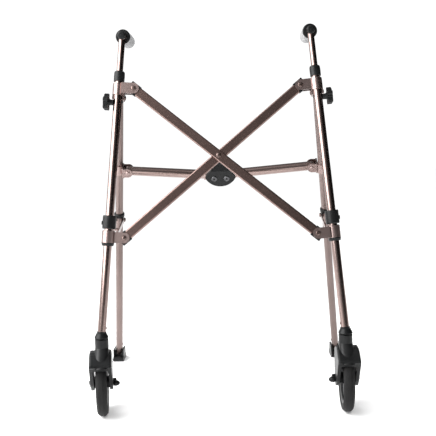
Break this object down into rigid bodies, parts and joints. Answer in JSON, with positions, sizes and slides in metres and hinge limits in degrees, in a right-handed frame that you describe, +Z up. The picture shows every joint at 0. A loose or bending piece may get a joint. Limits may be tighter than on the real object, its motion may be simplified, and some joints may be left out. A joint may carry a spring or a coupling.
{
  "type": "folding walking frame",
  "caption": "Folding walking frame with swivel front wheels, a cross brace at the front, a hinged crossbar at the back and telescoping hand grips.",
  "frame": {"origin": "bottom centre of the box around the whole frame, opened out, on the floor", "axes": "+Z up, -Y towards the front (the side the wheels and the cross brace are on), +X to the right of someone who faces the front of the frame"},
  "size_m": [0.6484, 0.5418, 0.8758],
  "materials": {
    "frame_metal": "satin bronze anodised",
    "black_plastic": "matte black",
    "rivet_metal": "dark plated",
    "grip_rubber": "soft grey",
    "tyre_rubber": "dark grey"
  },
  "bodies": {
    "left_frame": {"leg_tube_left": "frame_metal", "upper_collar_left": "black_plastic", "mid_collar_left": "black_plastic", "leg_bolts_left": "rivet_metal", "top_bracket_left": "frame_metal", "caster_socket_left": "black_plastic"},
    "slider_left": {"slider_bracket_left": "frame_metal", "slider_bush_left": "black_plastic"},
    "rear_leg_left": {"rear_leg_tube_left": "frame_metal", "rear_knuckle_left": "black_plastic", "link_collar_left": "black_plastic", "rear_bolts_left": "rivet_metal", "crossbar_clevis_left": "frame_metal", "rear_foot_left": "black_plastic"},
    "side_link_left": {"side_link_left": "frame_metal"},
    "handle_left": {"handle_tube_left": "frame_metal", "handle_trim_left": "black_plastic", "grip_left": "grip_rubber"},
    "knob_left": {"knob_head_left": "black_plastic"},
    "caster_left": {"caster_fork_left": "black_plastic", "caster_axle_left": "black_plastic"},
    "wheel_left": {"tyre_left": "tyre_rubber", "rim_left": "black_plastic"},
    "lever_left": {"lock_lever_left": "black_plastic"},
    "right_frame": {"leg_tube_right": "frame_metal", "upper_collar_right": "black_plastic", "mid_collar_right": "black_plastic", "leg_bolts_right": "rivet_metal", "top_bracket_right": "frame_metal", "caster_socket_right": "black_plastic"},
    "slider_right": {"slider_bracket_right": "frame_metal", "slider_bush_right": "black_plastic"},
    "rear_leg_right": {"rear_leg_tube_right": "frame_metal", "rear_knuckle_right": "black_plastic", "link_collar_right": "black_plastic", "rear_bolts_right": "rivet_metal", "crossbar_clevis_right": "frame_metal", "rear_foot_right": "black_plastic"},
    "side_link_right": {"side_link_right": "frame_metal"},
    "handle_right": {"handle_tube_right": "frame_metal", "handle_trim_right": "black_plastic", "grip_right": "grip_rubber"},
    "knob_right": {"knob_head_right": "black_plastic"},
    "caster_right": {"caster_fork_right": "black_plastic", "caster_axle_right": "black_plastic"},
    "wheel_right": {"tyre_right": "tyre_rubber", "rim_right": "black_plastic"},
    "lever_right": {"lock_lever_right": "black_plastic"},
    "front_brace": {"bar_front": "frame_metal", "bar_front_caps": "black_plastic", "bar_front_rivets": "rivet_metal"},
    "rear_brace": {"bar_rear": "frame_metal", "bar_rear_caps": "black_plastic", "bar_rear_rivets": "rivet_metal"},
    "crossbar_left": {"crossbar_left": "frame_metal"},
    "crossbar_right": {"crossbar_right": "frame_metal"},
    "hinge_housing": {"hinge_shell_front": "black_plastic", "hinge_shell_rear": "black_plastic", "hinge_screws": "rivet_metal"}
  },
  "joints": [
    {"name": "brace_fold", "type": "hinge", "parent": "left_frame", "child": "front_brace", "pos_m": [-0.18773, -0.13175, 0.73666], "axis": [0, 0.9877, -0.1564], "range_deg": [0, 39.07]},
    {"name": "brace_crossing", "type": "hinge", "parent": "front_brace", "child": "rear_brace", "pos_m": [0, -0.15613, 0.58272], "axis": [0, 0.9877, -0.1564], "range_deg": [-70.18, 0]},
    {"name": "right_frame_swing", "type": "hinge", "parent": "rear_brace", "child": "right_frame", "pos_m": [0.18773, -0.13175, 0.73666], "axis": [0, 0.9877, -0.1564], "range_deg": [0, 39.07]},
    {"name": "slider_left_swing", "type": "hinge", "parent": "rear_brace", "child": "slider_left", "pos_m": [-0.2162, -0.18421, 0.40544], "axis": [0, 0.9877, -0.1564], "range_deg": [0, 31.11]},
    {"name": "slider_right_swing", "type": "hinge", "parent": "front_brace", "child": "slider_right", "pos_m": [0.2162, -0.18421, 0.40544], "axis": [0, 0.9877, -0.1564], "range_deg": [-31.11, 0]},
    {"name": "rear_leg_left_swing", "type": "hinge", "parent": "left_frame", "child": "rear_leg_left", "pos_m": [-0.2265, -0.10796, 0.72099], "axis": [0.9945, 0.0488, -0.0932], "range_deg": [-21, 0]},
    {"name": "rear_leg_right_swing", "type": "hinge", "parent": "right_frame", "child": "rear_leg_right", "pos_m": [0.2265, -0.10796, 0.72099], "axis": [0.9945, -0.0488, 0.0932], "range_deg": [-21, 0]},
    {"name": "side_link_left_swing", "type": "hinge", "parent": "rear_leg_left", "child": "side_link_left", "pos_m": [-0.26142, 0.03752, 0.42461], "axis": [0.9945, 0.0488, -0.0932], "range_deg": [0, 71.97]},
    {"name": "side_link_right_swing", "type": "hinge", "parent": "rear_leg_right", "child": "side_link_right", "pos_m": [0.26142, 0.03752, 0.42461], "axis": [0.9945, -0.0488, 0.0932], "range_deg": [0, 71.97]},
    {"name": "crossbar_left_swing", "type": "hinge", "parent": "rear_leg_left", "child": "crossbar_left", "pos_m": [-0.22259, -0.03683, 0.55044], "axis": [0, -0.8977, -0.4406], "range_deg": [0, 70.5]},
    {"name": "crossbar_right_swing", "type": "hinge", "parent": "rear_leg_right", "child": "crossbar_right", "pos_m": [0.22259, -0.0117, 0.55052], "axis": [0, 0.8977, 0.4406], "range_deg": [0, 70.5]},
    {"name": "hinge_housing_swing", "type": "hinge", "parent": "crossbar_left", "child": "hinge_housing", "pos_m": [-0.015, -0.02782, 0.53209], "axis": [0, 0.8977, 0.4406], "range_deg": [0, 74.82]},
    {"name": "handle_left_height", "type": "slide", "parent": "left_frame", "child": "handle_left", "axis": [0.0846, 0.1559, 0.9841], "range_m": [-0.055, 0.098]},
    {"name": "clamp_knob_left_turn", "type": "hinge", "parent": "left_frame", "child": "knob_left", "pos_m": [-0.24624, -0.13599, 0.70985], "axis": [-0.9964, 0.0132, 0.0835], "range_deg": [0, 360]},
    {"name": "caster_left_steer", "type": "hinge", "parent": "left_frame", "child": "caster_left", "pos_m": [-0.27072, -0.21809, 0.1915], "axis": [0, 0, 1], "continuous": true},
    {"name": "wheel_left_roll", "type": "hinge", "parent": "caster_left", "child": "wheel_left", "pos_m": [-0.27906, -0.189, 0.0762], "axis": [0.9893, 0.1461, 0], "continuous": true},
    {"name": "lever_left_press", "type": "hinge", "parent": "caster_left", "child": "lever_left", "pos_m": [-0.27906, -0.189, 0.0762], "axis": [0.9893, 0.1461, 0], "range_deg": [0, 25]},
    {"name": "handle_right_height", "type": "slide", "parent": "right_frame", "child": "handle_right", "axis": [-0.0846, 0.1559, 0.9841], "range_m": [-0.055, 0.098]},
    {"name": "clamp_knob_right_turn", "type": "hinge", "parent": "right_frame", "child": "knob_right", "pos_m": [0.24624, -0.13599, 0.70985], "axis": [0.9964, 0.0132, 0.0835], "range_deg": [0, 360]},
    {"name": "caster_right_steer", "type": "hinge", "parent": "right_frame", "child": "caster_right", "pos_m": [0.27072, -0.21809, 0.1915], "axis": [0, 0, 1], "continuous": true},
    {"name": "wheel_right_roll", "type": "hinge", "parent": "caster_right", "child": "wheel_right", "pos_m": [0.27597, -0.18829, 0.0762], "axis": [0.9991, -0.0419, 0], "continuous": true},
    {"name": "lever_right_press", "type": "hinge", "parent": "caster_right", "child": "lever_right", "pos_m": [0.27597, -0.18829, 0.0762], "axis": [0.9991, -0.0419, 0], "range_deg": [0, 25]}
  ],
  "couplings": [
    {"joint": "brace_crossing", "follows": "brace_fold", "ratio": -1.7962},
    {"joint": "right_frame_swing", "follows": "brace_fold", "ratio": 1},
    {"joint": "slider_left_swing", "follows": "brace_fold", "ratio": 0.79625},
    {"joint": "slider_right_swing", "follows": "brace_fold", "ratio": -0.79625},
    {"joint": "rear_leg_left_swing", "follows": "brace_fold", "ratio": -0.53735},
    {"joint": "rear_leg_right_swing", "follows": "brace_fold", "ratio": -0.53735},
    {"joint": "side_link_left_swing", "follows": "brace_fold", "ratio": 1.8421},
    {"joint": "side_link_right_swing", "follows": "brace_fold", "ratio": 1.8421},
    {"joint": "crossbar_left_swing", "follows": "brace_fold", "ratio": 1.8043},
    {"joint": "crossbar_right_swing", "follows": "brace_fold", "ratio": 1.8043},
    {"joint": "hinge_housing_swing", "follows": "brace_fold", "ratio": 1.9149}
  ]
}
